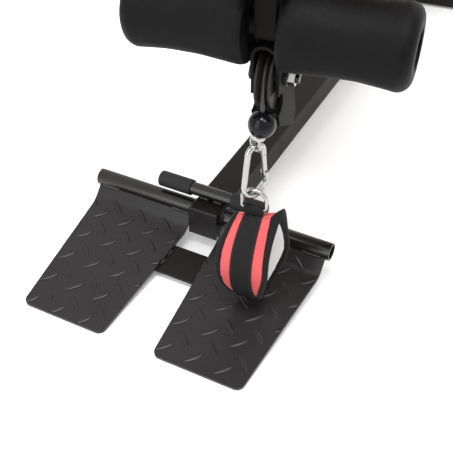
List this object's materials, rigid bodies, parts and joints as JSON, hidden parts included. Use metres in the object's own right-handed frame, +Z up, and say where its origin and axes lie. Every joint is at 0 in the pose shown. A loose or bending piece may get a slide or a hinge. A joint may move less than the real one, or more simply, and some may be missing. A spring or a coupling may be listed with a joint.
{
  "type": "roman chair",
  "caption": "Black bench-type roman chair with tread foot plates, foam rollers and a low cable pulley with an ankle strap",
  "frame": {"origin": "on the floor, at the centre of the sole under the foot rail pivot", "axes": "+Y to the rear along the bench, +Z up, +X to the right seen from the foot plates"},
  "size_m": [0.584, 1.1673, 0.5952],
  "materials": {
    "black_paint": "satin black powder coat",
    "tread_paint": "charcoal powder coat with pressed diamond tread",
    "sleeve_rubber": "matte charcoal rubber",
    "roller_foam": "matte black closed-cell foam",
    "black_plastic": "black moulded plastic",
    "zinc_plate": "bright zinc plate",
    "spring_steel": "spring steel",
    "bush_bronze": "sintered bronze",
    "seat_vinyl": "black vinyl",
    "board_ply": "plywood",
    "cuff_cloth": "coral red and black strap, pale lining",
    "black_webbing": "black woven webbing"
  },
  "bodies": {
    "base": {"base_post": "black_paint", "rear_stabilizer": "black_paint", "stabilizer_cap_left": "black_plastic", "stabilizer_cap_right": "black_plastic", "clevis_upper": "black_paint", "clevis_lower": "black_paint", "pivot_bolt": "zinc_plate", "pivot_nut": "zinc_plate", "pivot_foot": "sleeve_rubber", "bench_beam": "black_paint", "beam_cap_front": "black_plastic", "beam_cap_rear": "black_plastic", "beam_strut_left": "black_paint", "beam_strut_right": "black_paint", "seat_bracket_front": "black_paint", "seat_bracket_rear": "black_paint", "seat_bolt_front_left": "zinc_plate", "seat_bolt_front_right": "zinc_plate", "seat_bolt_rear_left": "zinc_plate", "seat_bolt_rear_right": "zinc_plate", "seat_board": "board_ply", "seat_pad": "seat_vinyl", "drop_arm": "black_paint", "roller_axle": "black_paint", "axle_plug_left": "black_plastic", "axle_plug_right": "black_plastic", "pulley_bolt": "zinc_plate", "pulley_nut": "zinc_plate", "pulley_washer_left": "black_plastic", "pulley_washer_right": "black_plastic", "cable": "black_plastic", "guide_axle": "zinc_plate", "return_spring": "spring_steel", "spring_pin": "zinc_plate", "cable_ball": "black_plastic", "cable_eye": "zinc_plate"},
    "foot_rail_arm": {"foot_rail": "black_paint", "rail_front_cap": "black_plastic", "rail_pivot_bush": "bush_bronze", "foot_tube": "black_paint", "foot_plate_left": "tread_paint", "foot_plate_right": "tread_paint", "plate_tie_strip": "black_paint", "grip_bar": "black_paint", "grip_sleeve_left": "sleeve_rubber", "grip_sleeve_right": "sleeve_rubber"},
    "pulley": {"pulley_wheel": "black_plastic", "pulley_bearing": "spring_steel"},
    "guide_wheel": {"guide_pulley": "black_plastic"},
    "roller_left": {"foam_roller_left": "roller_foam"},
    "roller_right": {"foam_roller_right": "roller_foam"},
    "hook": {"snap_hook": "zinc_plate", "gate_pin": "zinc_plate"},
    "gate": {"hook_gate": "zinc_plate"},
    "strap": {"d_ring": "zinc_plate", "strap_tab": "black_webbing", "strap_webbing": "black_webbing", "cuff_pad": "cuff_cloth"}
  },
  "joints": [
    {"name": "foot_rail_swing", "type": "hinge", "parent": "base", "child": "foot_rail_arm", "pos_m": [0, 0, 0], "axis": [0, 0, 1], "range_deg": [-7.45, 22.55]},
    {"name": "pulley_spin", "type": "hinge", "parent": "base", "child": "pulley", "pos_m": [0, -0.892, 0.3457], "axis": [1, 0, 0], "continuous": true},
    {"name": "guide_pulley_spin", "type": "hinge", "parent": "base", "child": "guide_wheel", "pos_m": [0, 0.075, 0.3577], "axis": [1, 0, 0], "continuous": true},
    {"name": "roller_left_spin", "type": "hinge", "parent": "base", "child": "roller_left", "pos_m": [0, -0.908, 0.4127], "axis": [1, 0, 0], "continuous": true},
    {"name": "roller_right_spin", "type": "hinge", "parent": "base", "child": "roller_right", "pos_m": [0, -0.908, 0.4127], "axis": [1, 0, 0], "continuous": true},
    {"name": "hook_swing", "type": "hinge", "parent": "base", "child": "hook", "pos_m": [-0.00648, -0.922, 0.26874], "axis": [-0.5736, -0.8192, 0], "range_deg": [0, 60]},
    {"name": "gate_open", "type": "hinge", "parent": "hook", "child": "gate", "pos_m": [0.00203, -0.90985, 0.22404], "axis": [0.8192, -0.5736, 0], "range_deg": [0, 20], "stiffness_Nm_per_rad": 0.02},
    {"name": "strap_swing", "type": "hinge", "parent": "hook", "child": "strap", "pos_m": [-0.00648, -0.922, 0.19674], "axis": [-0.5736, -0.8192, 0], "range_deg": [0, 45]}
  ],
  "couplings": [
    {"joint": "guide_pulley_spin", "follows": "pulley_spin", "ratio": 1.6667}
  ]
}
